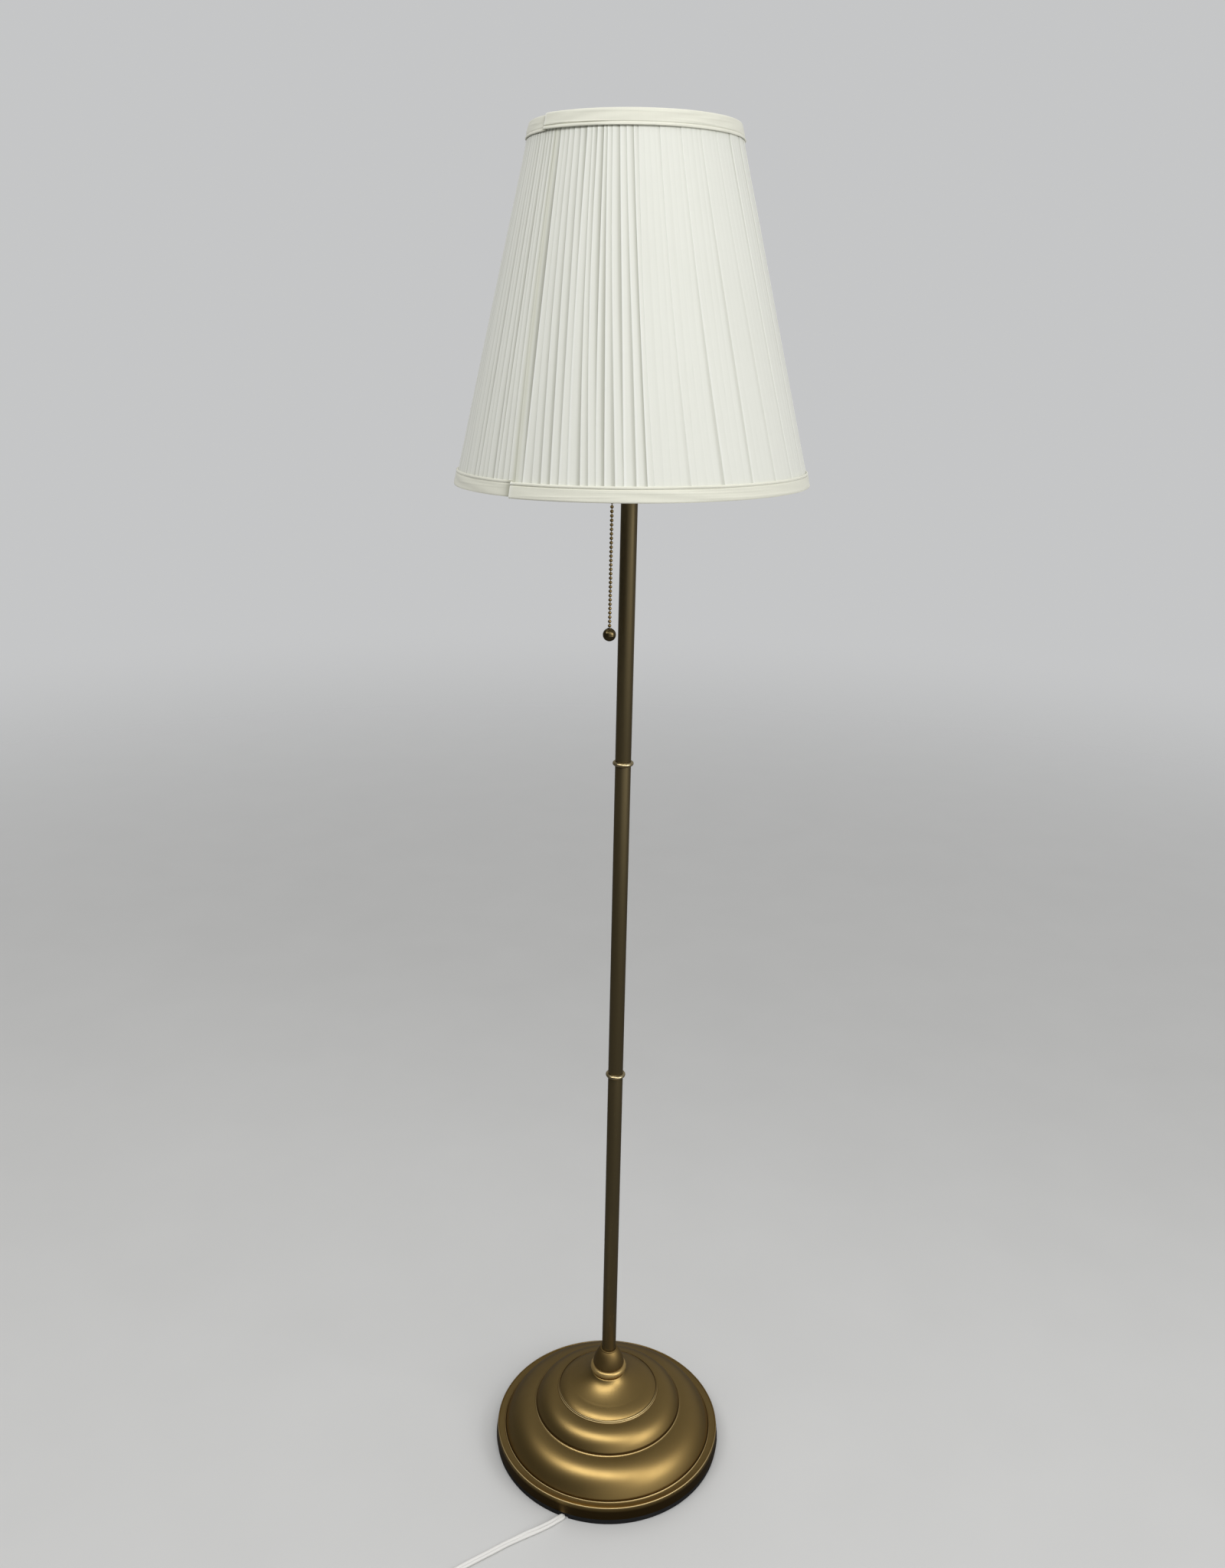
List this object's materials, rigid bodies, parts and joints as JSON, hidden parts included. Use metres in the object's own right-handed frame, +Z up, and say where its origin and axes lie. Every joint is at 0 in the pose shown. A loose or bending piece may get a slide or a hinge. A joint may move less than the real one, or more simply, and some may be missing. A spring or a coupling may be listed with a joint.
{
  "type": "floor lamp",
  "caption": "Straight-pole floor lamp with a stepped round base, a pull-chain lamp holder and a pleated empire shade on a wire frame.",
  "frame": {"origin": "on the floor, on the pole axis, under the middle of the round base", "axes": "+Z up along the pole, -Y towards the front, where the pull chain hangs and the cord leaves"},
  "size_m": [0.3834, 0.5124, 1.51],
  "materials": {
    "brass": "satin antique brass, lacquered",
    "dark_brass": "dark bronzed brass, semi-gloss",
    "bright_brass": "polished brass",
    "steel": "zinc-plated steel",
    "wire": "white-coated steel wire",
    "iron": "rough casting",
    "black_foot": "matt black",
    "shade_fabric": "fine pleated cloth, off-white",
    "shade_lining": "thin translucent lining",
    "trim_tape": "cream woven tape",
    "fibre": "insulating fibre",
    "phenolic": "moulded phenolic",
    "white_vinyl": "soft white vinyl",
    "bulb_glass": "frosted glass"
  },
  "bodies": {
    "lamp": {"base_shell": "brass", "foot_ring": "black_foot", "cord_gland": "black_foot", "base_weight": "iron", "base_washer": "steel", "base_nut": "steel", "base_stud": "steel", "neck_ring": "bright_brass", "neck_cone": "brass", "pole_lower": "dark_brass", "pole_middle": "dark_brass", "pole_upper": "dark_brass", "joint_ring_lower": "bright_brass", "joint_ring_upper": "bright_brass", "joint_screw_lower": "steel", "joint_screw_upper": "steel", "holder_nipple": "steel", "holder_cap": "brass", "holder_nut": "steel", "holder_shell": "brass", "insulating_sleeve": "fibre", "switch_body": "phenolic", "lever_pin": "steel", "drum_pin": "steel", "lever_spring": "steel", "chain_guide": "brass", "screw_shell": "bright_brass", "centre_contact": "bright_brass", "shade_nut": "brass", "bulb_cap": "steel", "bulb_glass": "bulb_glass", "inner_lead": "white_vinyl", "power_cord": "white_vinyl", "cord_coil": "white_vinyl", "cord_tie": "black_foot", "cord_tail": "white_vinyl", "plug_body": "white_vinyl", "plug_blade_line": "bright_brass", "plug_blade_neutral": "bright_brass"},
    "shade": {"fitter_ring": "wire", "arm_1": "wire", "arm_2": "wire", "arm_3": "wire", "rib_1": "wire", "rib_2": "wire", "rib_3": "wire", "rib_4": "wire", "wire_bottom": "wire", "wire_top": "wire", "shade_cover": "shade_fabric", "shade_liner": "shade_lining", "trim_bottom": "trim_tape", "trim_top": "trim_tape"},
    "chain_coupling": {"chain_coupling": "bright_brass"},
    "chain_swivel": {"chain_swivel": "bright_brass"},
    "chain": {"pull_chain": "bright_brass", "chain_ball": "dark_brass"},
    "chain_stub": {"chain_stub": "bright_brass"},
    "lever": {"pull_lever": "steel"},
    "drum": {"contact_drum": "phenolic"}
  },
  "joints": [
    {"name": "shade_turn", "type": "hinge", "parent": "lamp", "child": "shade", "pos_m": [0, 0, 1.3063], "axis": [0, 0, 1], "continuous": true},
    {"name": "chain_pull", "type": "slide", "parent": "lamp", "child": "chain_coupling", "axis": [0, 0, -1], "range_m": [0, 0.008], "stiffness_N_per_m": 500, "springref_m": -0.002},
    {"name": "chain_swing_side", "type": "hinge", "parent": "chain_coupling", "child": "chain_swivel", "pos_m": [-0.017, -0.027, 1.2812], "axis": [0, 1, 0], "range_deg": [-20, 20]},
    {"name": "chain_swing_front", "type": "hinge", "parent": "chain_swivel", "child": "chain", "pos_m": [-0.017, -0.027, 1.2812], "axis": [1, 0, 0], "range_deg": [-20, 20]},
    {"name": "stub_slide", "type": "slide", "parent": "lamp", "child": "chain_stub", "axis": [-0.5328, -0.8462, 0], "range_m": [0, 0.0081]},
    {"name": "lever_turn", "type": "hinge", "parent": "lamp", "child": "lever", "pos_m": [-0.00426, -0.00677, 1.277], "axis": [0.8462, -0.5328, 0], "range_deg": [0, 35.5]},
    {"name": "drum_turn", "type": "hinge", "parent": "lamp", "child": "drum", "pos_m": [0, 0, 1.281], "axis": [0.8462, -0.5328, 0], "continuous": true}
  ],
  "couplings": [
    {"joint": "stub_slide", "follows": "chain_pull", "ratio": 1},
    {"joint": "lever_turn", "follows": "chain_pull", "rad_per_m": 76.923}
  ]
}
